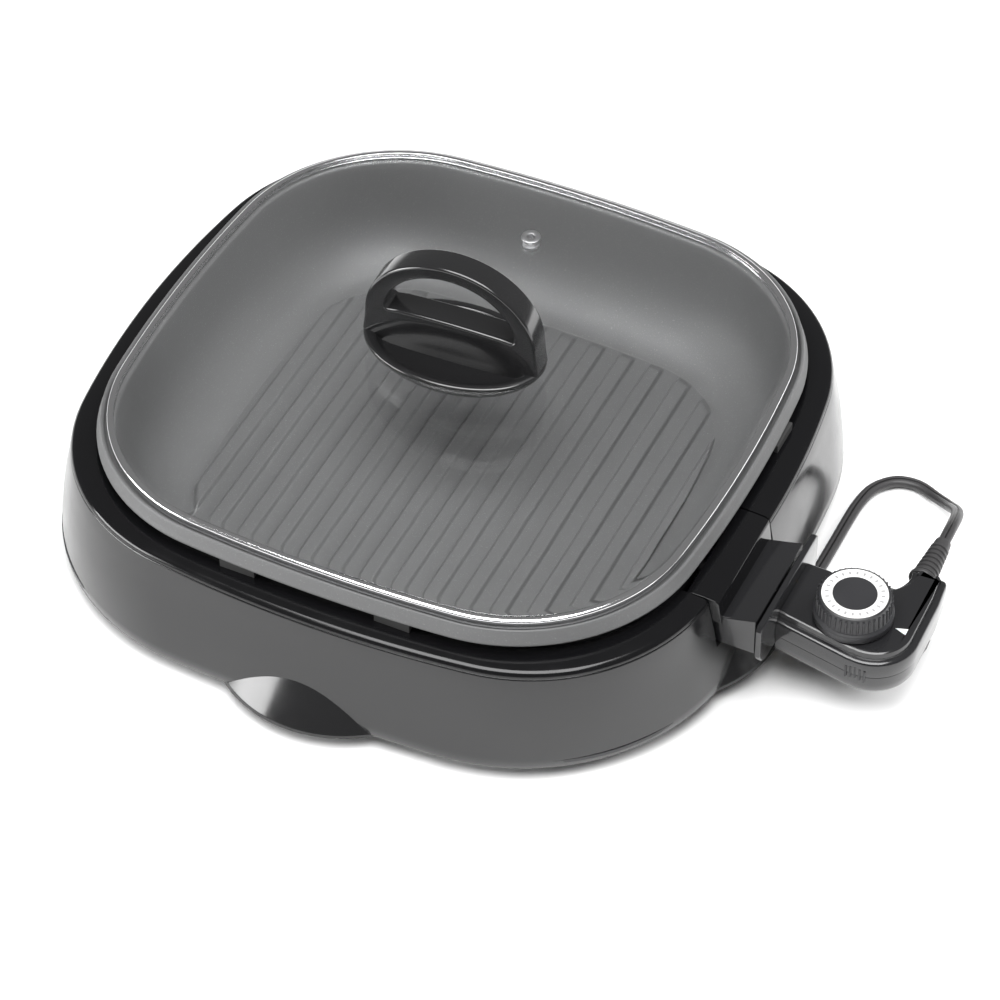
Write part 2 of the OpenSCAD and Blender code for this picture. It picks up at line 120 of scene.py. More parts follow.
def hank_point(along):
    """A point on the oval of spare cord, which climbs by one cord in all. along counts turns."""
    lap = 2 * HANK_RUN + 2 * math.pi * HANK_BEND
    arc = math.pi * HANK_BEND
    s = (along % 1) * lap
    rise = TIE_THICK + CORD_WIDTH / 2 + CORD_WIDTH * min(along, HANK_TURNS) / HANK_TURNS
    left, right = HANK_X - HANK_RUN / 2, HANK_X + HANK_RUN / 2
    if s < arc / 2:
        a = math.pi + s / HANK_BEND
        return (left + HANK_BEND * math.cos(a), HANK_Y + HANK_BEND * math.sin(a), rise)
    s -= arc / 2
    if s < HANK_RUN:
        return (left + s, HANK_Y - HANK_BEND, rise)
    s -= HANK_RUN
    if s < arc:
        a = -math.pi / 2 + s / HANK_BEND
        return (right + HANK_BEND * math.cos(a), HANK_Y + HANK_BEND * math.sin(a), rise)
    s -= arc
    if s < HANK_RUN:
        return (right - s, HANK_Y + HANK_BEND, rise)
    a = math.pi / 2 + (s - HANK_RUN) / HANK_BEND
    return (left + HANK_BEND * math.cos(a), HANK_Y + HANK_BEND * math.sin(a), rise)


def cord_line():
    """The whole cord: the free loop, the spare turn, and the end that rises into the side of the plug."""
    count = int(HANK_TURNS * HANK_STEPS)
    coil = [Vector(hank_point(HANK_START + HANK_TURNS * k / count)) for k in range(count + 1)]
    bend_x = HANK_X + HANK_RUN / 2
    rise = PLUG_Z - coil[-1].z
    end = []
    for k in range(1, END_STEPS + 1):
        a = math.radians(-90 + END_SWEEP * k / END_STEPS)
        z = coil[-1].z + rise * (k / END_STEPS) ** 3
        end.append(Vector((bend_x + HANK_BEND * math.cos(a), HANK_Y + HANK_BEND * math.sin(a), z)))
    end.append(end[-1] + END_STEP)
    return spline(CORD_ROUTE, 4) + coil + end


def sweep(name, line, section):
    """A tube with that section, (across, up), along a line. Its width stays level."""
    points, faces = [], []
    n, final = len(section), len(line) - 1
    for i, p in enumerate(line):
        along = (line[min(i + 1, final)] - line[max(i - 1, 0)]).normalized()
        side = along.cross(NEARLY_UP).normalized()
        up = side.cross(along)
        points += [p + side * a + up * b for a, b in section]
    for i in range(final):
        for k in range(n):
            j = (k + 1) % n
            faces.append((i * n + k, i * n + j, i * n + n + j, i * n + n + k))
    faces.append(tuple(range(n))[::-1])
    faces.append(tuple(final * n + k for k in range(n)))
    return mesh_from(name, points, faces)


def two_core_section():
    """Two round cores side by side, joined by a thin web."""
    r = CORD_THICK / 2
    out = CORD_WIDTH / 2 - r
    section = []
    for side in (1, -1):
        for k in range(9):
            a = math.radians(-112 + 28 * k) + (0 if side > 0 else math.pi)
            section.append((side * out + r * math.cos(a), r * math.sin(a)))
    return section


cord_path = cord_line()
cord = keep("cord", sweep("cord", cord_path, two_core_section()))

# ---------------------------------------------------------------- shader groups


def new_group(name, inputs, outputs):
    """A shader group with those inputs, as (label, default), and outputs, all of them floats."""
    group = bpy.data.node_groups.new(name, "ShaderNodeTree")
    for label, value in inputs:
        socket = group.interface.new_socket(label, in_out="INPUT", socket_type="NodeSocketFloat")
        socket.default_value = value
    for label in outputs:
        group.interface.new_socket(label, in_out="OUTPUT", socket_type="NodeSocketFloat")
    return group, group.nodes.new("NodeGroupInput"), group.nodes.new("NodeGroupOutput")


def node(tree, kind, **values):
    """A node with its properties, and its inputs by name, set."""
    made = tree.nodes.new(kind)
    for key, value in values.items():
        if hasattr(made, key):
            setattr(made, key, value)
        else:
            made.inputs[key.replace("_", " ")].default_value = value
    return made


def moulded_group():
    """Fine orange peel and smudges of moulded plastic: a roughness between Low and High, and a height."""
    group, given, out = new_group("moulded", [("Scale", 60), ("Low", 0.1), ("High", 0.2), ("Peel", 900)],
                                  ["Roughness", "Height"])
    place = node(group, "ShaderNodeTexCoord")
    smudge = node(group, "ShaderNodeTexNoise", Detail=4.0, Roughness=0.6)
    peel = node(group, "ShaderNodeTexNoise", Detail=1.0)
    spread = node(group, "ShaderNodeMapRange", From_Min=0.35, From_Max=0.7)
    link = group.links.new
    link(place.outputs["Object"], smudge.inputs["Vector"])
    link(place.outputs["Object"], peel.inputs["Vector"])
    link(given.outputs["Scale"], smudge.inputs["Scale"])
    link(given.outputs["Peel"], peel.inputs["Scale"])
    link(smudge.outputs["Fac"], spread.inputs["Value"])
    link(given.outputs["Low"], spread.inputs["To Min"])
    link(given.outputs["High"], spread.inputs["To Max"])
    link(spread.outputs["Result"], out.inputs["Roughness"])
    link(peel.outputs["Fac"], out.inputs["Height"])
    return group


def speckle_group():
    """The fine grit of a sprayed coating: light specks, and a height."""
    group, given, out = new_group("speckle", [("Scale", 1400), ("Cut", 0.62)],
                                  ["Specks", "Cloud", "Height"])
    place = node(group, "ShaderNodeTexCoord")
    grit = node(group, "ShaderNodeTexNoise", Detail=2.0, Roughness=0.7)
    cloud = node(group, "ShaderNodeTexNoise", Scale=14.0, Detail=3.0)
    cut = node(group, "ShaderNodeMapRange", From_Max=0.8)
    link = group.links.new
    link(place.outputs["Object"], grit.inputs["Vector"])
    link(place.outputs["Object"], cloud.inputs["Vector"])
    link(given.outputs["Scale"], grit.inputs["Scale"])
    link(given.outputs["Cut"], cut.inputs["From Min"])
    link(grit.outputs["Fac"], cut.inputs["Value"])
    link(cut.outputs["Result"], out.inputs["Specks"])
    link(cloud.outputs["Fac"], out.inputs["Cloud"])
    link(grit.outputs["Fac"], out.inputs["Height"])
    return group


def brushed_group():
    """Long fine scratches along one direction, as a roughness and a height."""
    group, given, out = new_group("brushed", [("Scale", 300), ("Low", 0.12), ("High", 0.3)],
                                  ["Roughness", "Height"])
    place = node(group, "ShaderNodeTexCoord")
    stretch = node(group, "ShaderNodeMapping")
    stretch.inputs["Scale"].default_value = (1, 1, 12)
    lines = node(group, "ShaderNodeTexNoise", Detail=3.0, Roughness=0.65)
    spread = node(group, "ShaderNodeMapRange", From_Min=0.3, From_Max=0.7)
    link = group.links.new
    link(place.outputs["Object"], stretch.inputs["Vector"])
    link(stretch.outputs["Vector"], lines.inputs["Vector"])
    link(given.outputs["Scale"], lines.inputs["Scale"])
    link(lines.outputs["Fac"], spread.inputs["Value"])
    link(given.outputs["Low"], spread.inputs["To Min"])
    link(given.outputs["High"], spread.inputs["To Max"])
    link(spread.outputs["Result"], out.inputs["Roughness"])
    link(lines.outputs["Fac"], out.inputs["Height"])
    return group


MOULDED = moulded_group()
SPECKLE = speckle_group()
BRUSHED = brushed_group()


def base_material(name, colour, **values):
    """A material with one Principled shader, and its tree."""
    material = bpy.data.materials.new(name)
    material.use_nodes = True
    tree = material.node_tree
    shader = tree.nodes["Principled BSDF"]
    shader.inputs["Base Color"].default_value = (*colour, 1)
    for key, value in values.items():
        shader.inputs[key.replace("_", " ")].default_value = value
    return material, tree, shader


def place_group(tree, group, **values):
    """A shader group in that tree, with its inputs set."""
    made = tree.nodes.new("ShaderNodeGroup")
    made.node_tree = group
    for key, value in values.items():
        made.inputs[key].default_value = value
    return made


def bumped(tree, shader, height, strength, distance):
    """Turns a height into a bump on that shader."""
    bump = node(tree, "ShaderNodeBump", Strength=strength, Distance=distance)
    tree.links.new(height, bump.inputs["Height"])
    tree.links.new(bump.outputs["Normal"], shader.inputs["Normal"])


def moulded(name, colour, low, high, peel=700, bump=0.05, **values):
    """Moulded plastic, rubber or vinyl."""
    material, tree, shader = base_material(name, colour, **values)
    look = place_group(tree, MOULDED, Low=low, High=high, Peel=peel)
    tree.links.new(look.outputs["Roughness"], shader.inputs["Roughness"])
    bumped(tree, shader, look.outputs["Height"], bump, 0.0003)
    return material


def metal(name, colour, low, high, scale=300, **values):
    """Bare metal with fine brushing."""
    material, tree, shader = base_material(name, colour, Metallic=1.0, **values)
    look = place_group(tree, BRUSHED, Scale=scale, Low=low, High=high)
    tree.links.new(look.outputs["Roughness"], shader.inputs["Roughness"])
    bumped(tree, shader, look.outputs["Height"], 0.05, 0.0002)
    return material


def coated(name, dark, light, low, high):
    """Satin non-stick coating with a fine metallic grit."""
    material, tree, shader = base_material(name, dark, Metallic=0.2, Coat_Weight=0.05, Coat_Roughness=0.3)
    look = place_group(tree, SPECKLE)
    mix = node(tree, "ShaderNodeMix", data_type="RGBA")
    mix.inputs["A"].default_value = (*dark, 1)
    mix.inputs["B"].default_value = (*light, 1)
    rough = node(tree, "ShaderNodeMapRange", From_Min=0.3, From_Max=0.7, To_Min=low, To_Max=high)
    tree.links.new(look.outputs["Specks"], mix.inputs["Factor"])
    tree.links.new(mix.outputs["Result"], shader.inputs["Base Color"])
    tree.links.new(look.outputs["Cloud"], rough.inputs["Value"])
    tree.links.new(rough.outputs["Result"], shader.inputs["Roughness"])
    bumped(tree, shader, look.outputs["Height"], 0.12, 0.0003)
    return material


def clear_glass():
    """Clear tempered glass. Light that only passes through on its way to the pan isn't held up."""
    material, tree, shader = base_material("lid_glass", (0.972, 0.975, 0.975), Roughness=0.0, IOR=1.46,
                                           Transmission_Weight=1.0)
    smears = place_group(tree, MOULDED, Scale=12, Low=0.0, High=0.03)
    tree.links.new(smears.outputs["Roughness"], shader.inputs["Roughness"])
    path = tree.nodes.new("ShaderNodeLightPath")
    pass_on = tree.nodes.new("ShaderNodeBsdfTransparent")
    pass_on.inputs["Color"].default_value = (0.94, 0.943, 0.943, 1)
    either = tree.nodes.new("ShaderNodeMath")
    either.operation = "MAXIMUM"
    mix = tree.nodes.new("ShaderNodeMixShader")
    tree.links.new(path.outputs["Is Shadow Ray"], either.inputs[0])
    tree.links.new(path.outputs["Is Diffuse Ray"], either.inputs[1])
    tree.links.new(either.outputs[0], mix.inputs["Fac"])
    tree.links.new(shader.outputs["BSDF"], mix.inputs[1])
    tree.links.new(pass_on.outputs["BSDF"], mix.inputs[2])
    tree.links.new(mix.outputs["Shader"], tree.nodes["Material Output"].inputs["Surface"])
    return material


GLOSS_BLACK = moulded("gloss_black", (0.004, 0.004, 0.0045), 0.12, 0.22, bump=0.015,
                      Specular_IOR_Level=0.35, Coat_Weight=0.15, Coat_Roughness=0.06)
WALL_BLACK = moulded("wall_black", (0.01, 0.01, 0.0105), 0.16, 0.26, bump=0.02,
                     Coat_Weight=0.3, Coat_Roughness=0.12)
HANDLE_BLACK = moulded("handle_black", (0.012, 0.012, 0.0125), 0.14, 0.22, bump=0.015,
                       Coat_Weight=0.6, Coat_Roughness=0.1)
CASE_BLACK = moulded("case_black", (0.013, 0.013, 0.014), 0.14, 0.24, bump=0.03,
                     Coat_Weight=0.4, Coat_Roughness=0.1)
SATIN_BLACK = moulded("satin_black", (0.022, 0.022, 0.024), 0.35, 0.5, bump=0.08)
VINYL = moulded("cord_vinyl", (0.04, 0.039, 0.04), 0.38, 0.5, bump=0.05)
RUBBER = moulded("foot_rubber", (0.03, 0.03, 0.03), 0.6, 0.75, bump=0.15)
CERAMIC = moulded("ceramic", (0.8, 0.77, 0.7), 0.55, 0.7, bump=0.12)
COATING = coated("pan_coating", (0.125, 0.126, 0.127), (0.27, 0.27, 0.272), 0.48, 0.62)
RIM_STEEL = metal("rim_steel", (0.86, 0.86, 0.87), 0.08, 0.2)
SCREW_STEEL = metal("screw_steel", (0.55, 0.55, 0.56), 0.2, 0.35)
SHEET_STEEL = metal("reflector_steel", (0.6, 0.6, 0.62), 0.25, 0.45, scale=90)
SHEATH = metal("element_sheath", (0.12, 0.115, 0.11), 0.4, 0.6)
BRASS = metal("contact_brass", (0.72, 0.5, 0.2), 0.15, 0.3)
LENS = moulded("lens", (0.85, 0.85, 0.82), 0.15, 0.25, Subsurface_Weight=0.2)
EYELET = metal("eyelet_steel", (0.7, 0.7, 0.71), 0.3, 0.42)
GLASS = clear_glass()

DIAL_X, DIAL_Y = 223.0, -37.0
PRINT_WHITE, PRINT_GREY = (0.68, 0.68, 0.67), (0.3, 0.3, 0.3)
MARKS, MARK_SHARE, MARK_INNER, MARK_OUTER = 24, 0.3, 12.2, 14.0


def printed_dial():
    """A white printed ring with short grey marks round it."""
    material, tree, shader = base_material("dial_print", PRINT_WHITE, Coat_Weight=0.1)
    place = node(tree, "ShaderNodeTexCoord")
    centre = node(tree, "ShaderNodeMapping")
    centre.inputs["Location"].default_value = (-DIAL_X * MM, -DIAL_Y * MM, 0)
    split = node(tree, "ShaderNodeSeparateXYZ")
    angle = node(tree, "ShaderNodeMath", operation="ARCTAN2")
    times = node(tree, "ShaderNodeMath", operation="MULTIPLY")
    times.inputs[1].default_value = MARKS / (2 * math.pi)
    part = node(tree, "ShaderNodeMath", operation="FRACT")
    near = node(tree, "ShaderNodeMath", operation="LESS_THAN")
    near.inputs[1].default_value = MARK_SHARE
    reach = node(tree, "ShaderNodeVectorMath", operation="LENGTH")
    flat = node(tree, "ShaderNodeCombineXYZ")
    inner = node(tree, "ShaderNodeMath", operation="GREATER_THAN")
    inner.inputs[1].default_value = MARK_INNER * MM
    outer = node(tree, "ShaderNodeMath", operation="LESS_THAN")
    outer.inputs[1].default_value = MARK_OUTER * MM
    both = node(tree, "ShaderNodeMath", operation="MULTIPLY")
    all_three = node(tree, "ShaderNodeMath", operation="MULTIPLY")
    mix = node(tree, "ShaderNodeMix", data_type="RGBA")
    mix.inputs["A"].default_value = (*PRINT_WHITE, 1)
    mix.inputs["B"].default_value = (*PRINT_GREY, 1)
    grain = place_group(tree, MOULDED, Low=0.3, High=0.45)
    link = tree.links.new
    link(place.outputs["Object"], centre.inputs["Vector"])
    link(centre.outputs["Vector"], split.inputs["Vector"])
    link(split.outputs["Y"], angle.inputs[0])
    link(split.outputs["X"], angle.inputs[1])
    link(angle.outputs[0], times.inputs[0])
    link(times.outputs[0], part.inputs[0])
    link(part.outputs[0], near.inputs[0])
    link(split.outputs["X"], flat.inputs["X"])
    link(split.outputs["Y"], flat.inputs["Y"])
    link(flat.outputs["Vector"], reach.inputs[0])
    link(reach.outputs["Value"], inner.inputs[0])
    link(reach.outputs["Value"], outer.inputs[0])
    link(inner.outputs[0], both.inputs[0])
    link(outer.outputs[0], both.inputs[1])
    link(both.outputs[0], all_three.inputs[0])
    link(near.outputs[0], all_three.inputs[1])
    link(all_three.outputs[0], mix.inputs["Factor"])
    link(mix.outputs["Result"], shader.inputs["Base Color"])
    link(grain.outputs["Roughness"], shader.inputs["Roughness"])
    return material


DIAL_PRINT = printed_dial()

# ---------------------------------------------------------------- shapes


def paint(piece, material):
    """Gives the whole piece that material."""
    piece.data.materials.clear()
    piece.data.materials.append(material)
    return piece


def settle(piece, body, slot, *nodes):
    """The piece rides on that body and stands for those CAD parts, which are hidden; the slot is not used.
    """
    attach(piece, body)
    if nodes:
        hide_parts(*nodes)
    return piece


def soft_square(a, b, r, bow, steps=12):
    """An outline of half sizes a and b whose sides bulge by bow and whose corners have radius r."""
    side_a, side_b = b - r, a - r
    big_a = (side_a ** 2 + bow ** 2) / (2 * bow)
    big_b = (side_b ** 2 + bow ** 2) / (2 * bow)
    x, y = a - r - bow, b - r - bow
    for _ in range(40):
        x -= math.hypot(x - (a - big_a), y) - (big_a - r)
        y -= math.hypot(x, y - (b - big_b)) - (big_b - r)
    low = math.atan2(y, x - (a - big_a))
    high = math.atan2(y - (b - big_b), x)
    quarter = []
    for k in range(steps):
        t = low * k / steps
        quarter.append((a - big_a + big_a * math.cos(t), big_a * math.sin(t)))
    for k in range(2 * steps):
        t = low + (high - low) * k / (2 * steps)
        quarter.append((x + r * math.cos(t), y + r * math.sin(t)))
    for k in range(steps):
        t = high + (math.pi / 2 - high) * k / steps
        quarter.append((big_b * math.cos(t), b - big_b + big_b * math.sin(t)))
    top = [(-px, py) for px, py in reversed(quarter[1:])]
    half = quarter + [(0, b)] + top
    return half + [(-px, -py) for px, py in half]


BAND_A, BAND_B, BAND_R, BAND_BOW = 150, 145.5, 87, 2.5  # the outside of the lid's steel band
BAND_AT = 84.2  # the band's place in the profiles of the pan and the glass
WALL_HIGH = (168.9, 161.0, 94.4, 4.7)  # half sizes, corner radius and bow at the top of the base's wall
WALL_LOW = (176.0, 169.9, 110.7, 2.1)  # the same at its foot
WALL_TOP, WALL_TALL, WALL_SWELL = 62, 54, 0.9


def pan_row(offset, z):
    """A row of the pan or the lid: offset is counted outwards from the lid's steel band."""
    bow = BAND_BOW - 0.01 * max(offset, -60)
    return [(x, y, z) for x, y in soft_square(BAND_A + offset, BAND_B + offset, BAND_R + offset, bow)]


def base_row(offset, z):
    """A row of the base: offset is counted outwards from its wall at that height."""
    t = min(max((WALL_TOP - z) / WALL_TALL, 0), 1)
    a, b, r, bow = (high + (low - high) * t for high, low in zip(WALL_HIGH, WALL_LOW))
    swell = WALL_SWELL * math.sin(math.pi * t)
    return [(x, y, z) for x, y in soft_square(a + offset + swell, b + offset + swell, r + offset, bow)]


def loft(name, rows, closed=False, capped=False):
    """Skins rings of equally many points. The last can close onto the first, or both ends get caps."""
    n = len(rows[0])
    points = [p for row in rows for p in row]
    faces = []
    last = len(rows) if closed else len(rows) - 1
    for i in range(last):
        j = (i + 1) % len(rows)
        for k in range(n):
            m = (k + 1) % n
            faces.append((i * n + k, i * n + m, j * n + m, j * n + k))
    if capped:
        faces.append(tuple(range(n))[::-1])
        faces.append(tuple((len(rows) - 1) * n + k for k in range(n)))
    return mesh_from(name, points, faces)


def fix_normals(mesh):
    """Merges doubles and turns the faces outwards."""
    work = bmesh.new()
    work.from_mesh(mesh)
    bmesh.ops.remove_doubles(work, verts=work.verts, dist=0.01 * MM)
    bmesh.ops.recalc_face_normals(work, faces=work.faces)
    work.to_mesh(mesh)
    work.free()
    mesh.update()
    return mesh


def soften(mesh, sharpest):
    """Shades a mesh smooth, apart from edges that turn by more than that angle."""
    mesh.polygons.foreach_set("use_smooth", [True] * len(mesh.polygons))
    mesh.set_sharp_from_angle(angle=math.radians(sharpest))
    return mesh


def finished_mesh(piece):
    """The mesh that an object has after its modifiers."""
    return bpy.data.meshes.new_from_object(piece.evaluated_get(bpy.context.evaluated_depsgraph_get()))


def apply_modifiers(piece):
    """Makes the mesh after the modifiers the piece's own, and takes them off."""
    made = finished_mesh(piece)
    piece.modifiers.clear()
    piece.data = made
    return made


# ---------------------------------------------------------------- base


def cut_out(piece, low, high):
    """Cuts a box, given by two corners in millimetres, out of a piece."""
    low, high = Vector(low) * MM, Vector(high) * MM
    box = bpy.data.meshes.new("cut")
    corners = [(x, y, z) for x in (low.x, high.x) for y in (low.y, high.y) for z in (low.z, high.z)]
    sides = [(0, 1, 3, 2), (4, 6, 7, 5), (0, 4, 5, 1), (2, 3, 7, 6), (0, 2, 6, 4), (1, 5, 7, 3)]
    box.from_pydata(corners, [], sides)
    cutter = keep("cut", box)
    cut = piece.modifiers.new("cut", "BOOLEAN")
    cut.object = cutter
    cut.operation = "DIFFERENCE"
    cut.solver = "EXACT"
    made = apply_modifiers(piece)
    bpy.data.objects.remove(cutter)
    made.set_sharp_from_angle(angle=math.radians(40))
    return piece


NOTCH_LOW, NOTCH_HIGH = (150, -70.5, 34), (215, -9.5, 80)


def notched(mesh, name):
    """Cuts the gap that the socket on the pan stands in."""
    return cut_out(keep(name, mesh), NOTCH_LOW, NOTCH_HIGH)


def base_shell():
    """The leaning outer wall, with a rounded top edge."""
    outer = [(-0.9, 59.9), (-0.35, 59.85), (-0.1, 59.6), (0, 58.8), (0, 52), (0, 44), (0, 36), (0, 28),
             (0, 20), (0, 14), (0, 9.2)]
    inner = [(-0.8, 8), (-3, 8), (-3, 20), (-3, 36), (-3, 52), (-2.8, 59.8)]
    rows = [base_row(offset, z) for offset, z in outer + inner]
    piece = notched(fix_normals(loft("base_wall", rows, closed=True)), "base_wall")
    return settle(paint(piece, WALL_BLACK), "base", "shell_plastic", "base_shell")


LIPS = ((0, 182, 0), (180, 182, 0), (90, 186, -34))  # turn, reach from the centre, shift along the wall
LIP_RADIUS, LIP_SLOPE, LIP_HALF_ANGLE = 64, 0.79, 46
LIP_FOOT, LIP_TALL, LIP_THICK = 8, 20, 2.6


def finger_lips():
    """Half cones that lean out of the wall at the front, at the back and under the socket."""
    points, faces = [], []
    steps, rows = 48, 14
    for turn, reach, shift in LIPS:
        start = len(points)
        turned = Matrix.Rotation(math.radians(turn), 3, "Z")
        for i in range(rows + 1):
            z = LIP_FOOT + LIP_TALL * i / rows
            r = LIP_RADIUS - LIP_SLOPE * (z - LIP_FOOT)
            for k in range(steps + 1):
                a = math.radians(-90 + LIP_HALF_ANGLE * (2 * k / steps - 1))
                point = Vector((shift + r * math.cos(a), LIP_RADIUS - reach + r * math.sin(a), z))
                points.append(turned @ point)
        for i in range(rows):
            for k in range(steps):
                a = start + i * (steps + 1) + k
                faces.append((a, a + 1, a + steps + 2, a + steps + 1))
    mesh = fix_normals(mesh_from("finger_lips", points, faces))
    piece = keep("finger_lips_skin", mesh)
    thick = piece.modifiers.new("wall", "SOLIDIFY")
    thick.thickness = LIP_THICK * MM
    thick.offset = -1
    return settle(paint(piece, WALL_BLACK), "base", "shell_plastic", "finger_lips")


def base_bezel():
    """The glossy ledge round the pan, with a rounded outer edge above the part line."""
    profile = [(-14.5, 54), (-16.4, 54), (-16.6, 62.4), (-16.2, 63.6), (-15, 64.2), (-8, 63.9),
               (-2.4, 63.4), (-1.0, 62.9), (-0.2, 62.1), (0.1, 61.2), (0.1, 60.6), (-0.1, 60.2),
               (-2.6, 60.2), (-2.6, 61), (-14.4, 61.6)]
    rows = [base_row(offset, z) for offset, z in profile]
    piece = notched(fix_normals(loft("base_ledge", rows, closed=True)), "base_ledge")
    return settle(paint(piece, GLOSS_BLACK), "base", "shell_plastic", "base_bezel")


# ---------------------------------------------------------------- pan

RIB_PITCH, RIB_SHIFT, RIB_HEIGHT, FLOOR = 16.5, 4.1, 2.2, 18.0
FIRST_RIB, LAST_RIB = -6, 7
RIB_FLAT, RIB_FOOT = 3.2, 4.5  # where the top of a rib ends and where its side meets the floor
RIB_END, RIB_FULL = 1.5, 6.5  # the ribs rise between these distances from the floor's edge
FLOOR_EDGE = 47 - BAND_AT
FLOOR_ROWS = 56


def pan_shell():
    """The coved wall, the ledge for the lid and the rolled rim."""
    inner = [(86.6, 77.5), (86.0, 77.0), (85.8, 75.4), (85.4, 74.3), (84.6, 74.0), (82.5, 74.0),
             (80.4, 74.0), (79.5, 73.6), (79.1, 72.6), (78.7, 69), (78, 64), (77, 56), (75.4, 48),
             (73.8, 41.5), (71.4, 36), (68.4, 31), (64.6, 26.8), (60.4, 23.2), (56, 20.7), (51.5, 18.9),
             (47, 18.1), (42, 17.7)]
    outer = [(42, 15), (47.6, 15.2), (53, 16), (57.4, 17.6), (62, 20.2), (66.8, 24.4), (70.6, 29),
             (73.8, 34.4), (76.4, 41), (78.2, 48), (79.8, 56), (80.8, 63), (81.6, 68.6), (82.4, 69.6),
             (86, 69.6), (88.2, 69.2), (89.2, 69.2), (89.7, 69.7), (89.7, 70.4), (89.3, 71.2),
             (88.4, 74), (87.9, 76.2), (87.6, 77.2), (87.1, 77.6)]
    rows = [pan_row(r - BAND_AT, z) for r, z in inner + outer]
    return fix_normals(loft("pan_shell", rows, closed=True))


def smoothstep(a, b, x):
    """A soft step from 0 at a to 1 at b."""
    t = min(max((x - a) / (b - a), 0), 1)
    return t * t * (3 - 2 * t)


def rib_centre(rib):
    """The X of that rib's middle."""
    return RIB_SHIFT + RIB_PITCH * (rib - 0.5)


def pan_floor():
    """The cooking surface: a fine grid whose height rises into rounded ribs."""
    half = BAND_A + FLOOR_EDGE
    outline = soft_square(half, BAND_B + FLOOR_EDGE, BAND_R + FLOOR_EDGE, BAND_BOW)
    upper = sorted((x, y) for x, y in outline if y >= 0)
    side = (1.3, 2.6, 3.2, 3.6, 4.0, 4.4, 4.9, 6)
    xs = {-(half - 0.5), half - 0.5}
    for rib in range(FIRST_RIB, LAST_RIB + 1):
        centre = rib_centre(rib)
        for d in (-RIB_PITCH / 2, 0, *side, *(-x for x in side)):
            if abs(centre + d) < half - 0.5:
                xs.add(round(centre + d, 3))
    xs = sorted(xs)
    vs = [math.sin(math.pi / 2 * (-1 + 2 * j / FLOOR_ROWS)) for j in range(FLOOR_ROWS + 1)]
    points = []
    for x in xs:
        limit = 0
        for (x0, y0), (x1, y1) in zip(upper, upper[1:]):
            if x0 <= x <= x1:
                limit = y0 + (y1 - y0) * (x - x0) / max(x1 - x0, 1e-9)
        near = round((x - RIB_SHIFT) / RIB_PITCH + 0.5)
        lift = 0
        if FIRST_RIB <= near <= LAST_RIB:
            lift = 1 - smoothstep(RIB_FLAT, RIB_FOOT, abs(x - rib_centre(near)))
        for v in vs:
            y = limit * v
            end = smoothstep(RIB_END, RIB_FULL, limit - abs(y))
            points.append((x, y, FLOOR + RIB_HEIGHT * lift * end))
    n = len(vs)
    faces = [(i * n + j, (i + 1) * n + j, (i + 1) * n + j + 1, i * n + j + 1)
             for i in range(len(xs) - 1) for j in range(n - 1)]
    return mesh_from("pan_floor", points, faces)


def pan():
    """The coated pan: its body, and the ribbed floor as a skin of its own."""
    shell = keep("pan_body", pan_shell())
    paint(shell, COATING)
    settle(shell, "pan", "pan_coating", "pan")
    floor = keep("pan_ribbed_floor", pan_floor())
    paint(floor, COATING)
    return settle(floor, "pan", "pan_coating")


# ---------------------------------------------------------------- lid


def lid_glass():
    """The domed glass, four millimetres thick."""
    top = [(83.2, 77.6), (83.2, 78.6), (82.4, 79.2), (78, 80.3), (72, 81.5), (66, 82.6), (58, 83.8),
           (50, 84.9), (42, 85.7), (34, 86.3), (26, 86.75), (18, 87.0), (8, 87.2)]
    under = [(8, 83.3), (18, 83.1), (26, 82.8), (34, 82.3), (42, 81.7), (50, 80.9), (58, 79.8),
             (66, 78.6), (72, 77.5), (78, 76.3), (82.4, 75.2), (83.2, 75.6), (83.2, 76.4)]
    rows = [pan_row(r - BAND_AT, z) for r, z in top + under]
    n, last_top = len(rows[0]), len(top) - 1
    points = [p for row in rows for p in row]
    faces = []
    for i in range(len(rows)):
        if i == last_top:
            continue
        j = (i + 1) % len(rows)
        for k in range(n):
            m = (k + 1) % n
            faces.append((i * n + k, i * n + m, j * n + m, j * n + k))
    for i, middle_z in ((last_top, 87.3), (last_top + 1, 83.4)):
        faces += [(i * n + k, i * n + (k + 1) % n, len(points)) for k in range(n)]
        points.append((0, 0, middle_z))
    piece = keep("glass_dome", fix_normals(mesh_from("glass_dome", points, faces)))
    return settle(paint(piece, GLASS), "lid", "lid_glass", "lid_glass")


def lid_rim():
    """The polished steel band that is rolled over the edge of the glass."""
    profile = [(-0.4, 75.2), (-0.3, 77), (-0.3, 78.4), (0.1, 78.9), (0.15, 79.4), (-0.2, 80.0),
               (-1.0, 80.4), (-2.2, 80.6), (-3.0, 80.6), (-3.2, 80.3), (-2.4, 79.9), (-1.1, 79.4),
               (-0.9, 78.8), (-0.9, 75.2), (-1.2, 74.8), (-3.4, 75.3), (-4, 75.1), (-3.4, 74.6),
               (-1.3, 74.3), (-0.6, 74.5)]
    rows = [pan_row(offset, z) for offset, z in profile]
    piece = keep("steel_band", fix_normals(loft("steel_band", rows, closed=True)))
    return settle(paint(piece, RIM_STEEL), "lid", "rim_steel", "lid_rim")


HANDLE_TURN = Matrix.Rotation(math.radians(3), 4, "Z")


def oval_row(a, b, z, n=96):
    """A level oval of half sizes a and b."""
    return [(a * math.cos(2 * math.pi * k / n), b * math.sin(2 * math.pi * k / n), z) for k in range(n)]


